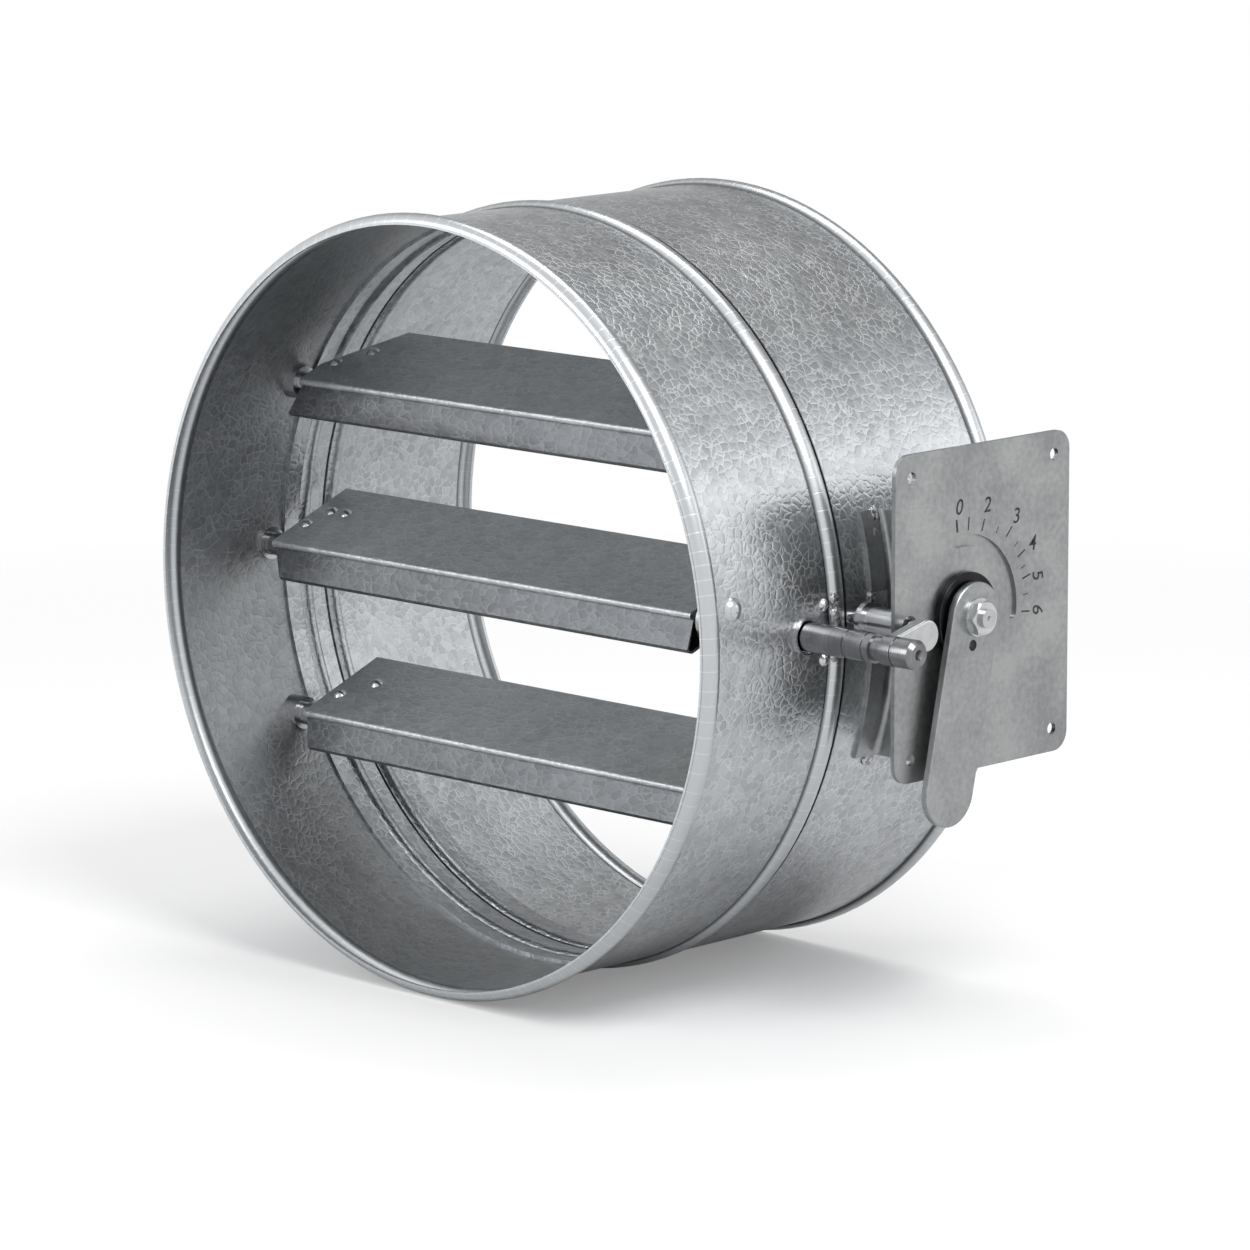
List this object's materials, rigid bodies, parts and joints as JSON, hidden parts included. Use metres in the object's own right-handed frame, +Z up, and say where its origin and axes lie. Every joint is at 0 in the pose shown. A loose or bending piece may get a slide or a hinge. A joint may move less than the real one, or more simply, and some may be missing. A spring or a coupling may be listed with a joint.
{
  "type": "duct balancing damper",
  "caption": "Round duct balancing damper with parallel pivoting blades, a tie bar inside and a lever with a numbered dial plate outside.",
  "frame": {"origin": "centre of the front rim's face, on the duct's axis", "axes": "+Y along the duct from the front rim to the rear rim, +X to the lever's side, +Z up"},
  "size_m": [0.3836, 0.182, 0.324],
  "materials": {
    "galvanised_sheet": "satin",
    "ring_sheet": "satin",
    "blade_sheet": "satin",
    "zinc_plate": "satin",
    "shaft_steel": "turned",
    "turned_steel": "turned",
    "fasteners": "satin"
  },
  "bodies": {
    "casing": {"casing_front": "galvanised_sheet", "casing_rear": "galvanised_sheet", "joint_ring_front": "ring_sheet", "joint_ring_rear": "ring_sheet", "casing_rivet": "fasteners", "left_sleeve_upper": "turned_steel", "left_sleeve_middle": "turned_steel", "left_sleeve_lower": "turned_steel", "inner_bearing_upper": "turned_steel", "inner_bearing_lower": "turned_steel", "shaft_bush": "turned_steel", "bush_rivets": "fasteners", "spindle_sleeve": "turned_steel", "plate_bracket": "zinc_plate", "dial_plate": "zinc_plate", "hub_boss": "turned_steel", "stud": "turned_steel", "stud_spacer": "turned_steel", "shaft_keeper": "turned_steel"},
    "blade_middle": {"blade_skin_middle": "blade_sheet", "blade_channel_middle": "blade_sheet", "blade_plugs_middle": "turned_steel", "blade_rivets_middle": "fasteners", "main_shaft": "shaft_steel", "left_clip_middle": "fasteners", "blade_crank_middle": "zinc_plate", "crank_pin_middle": "fasteners"},
    "blade_upper": {"blade_skin_upper": "blade_sheet", "blade_channel_upper": "blade_sheet", "blade_plugs_upper": "turned_steel", "blade_rivets_upper": "fasteners", "left_stub_upper": "shaft_steel", "right_stub_upper": "shaft_steel", "left_clip_upper": "fasteners", "blade_crank_upper": "zinc_plate", "crank_pin_upper": "fasteners"},
    "blade_lower": {"blade_skin_lower": "blade_sheet", "blade_channel_lower": "blade_sheet", "blade_plugs_lower": "turned_steel", "blade_rivets_lower": "fasteners", "left_stub_lower": "shaft_steel", "right_stub_lower": "shaft_steel", "left_clip_lower": "fasteners", "blade_crank_lower": "zinc_plate", "crank_pin_lower": "fasteners"},
    "tie_bar": {"tie_bar": "zinc_plate"},
    "lever": {"spindle": "shaft_steel", "spindle_crank": "zinc_plate", "yoke_pin": "fasteners", "spindle_spacer": "turned_steel", "pointer": "zinc_plate", "lever": "zinc_plate", "lever_washer": "fasteners", "lever_nut": "fasteners"}
  },
  "joints": [
    {"name": "middle_blade_turn", "type": "hinge", "parent": "casing", "child": "blade_middle", "pos_m": [0, 0.06, 0.002], "axis": [1, 0, 0], "range_deg": [0, 68]},
    {"name": "upper_blade_turn", "type": "hinge", "parent": "casing", "child": "blade_upper", "pos_m": [0, 0.06, 0.074], "axis": [1, 0, 0], "range_deg": [0, 68]},
    {"name": "lower_blade_turn", "type": "hinge", "parent": "casing", "child": "blade_lower", "pos_m": [0, 0.06, -0.07], "axis": [1, 0, 0], "range_deg": [0, 68]},
    {"name": "lever_turn", "type": "hinge", "parent": "casing", "child": "lever", "pos_m": [0.19, 0.1176, 0.007], "axis": [1, 0, 0], "range_deg": [0, 103]},
    {"name": "tie_bar_pivot", "type": "hinge", "parent": "blade_middle", "child": "tie_bar", "pos_m": [0.11, 0.07658, -0.00918], "axis": [1, 0, 0], "range_deg": [-68, 0]}
  ],
  "couplings": [
    {"joint": "upper_blade_turn", "follows": "middle_blade_turn", "ratio": 1},
    {"joint": "lower_blade_turn", "follows": "middle_blade_turn", "ratio": 1},
    {"joint": "lever_turn", "follows": "middle_blade_turn", "ratio": 1.5147},
    {"joint": "tie_bar_pivot", "follows": "middle_blade_turn", "ratio": -1}
  ]
}
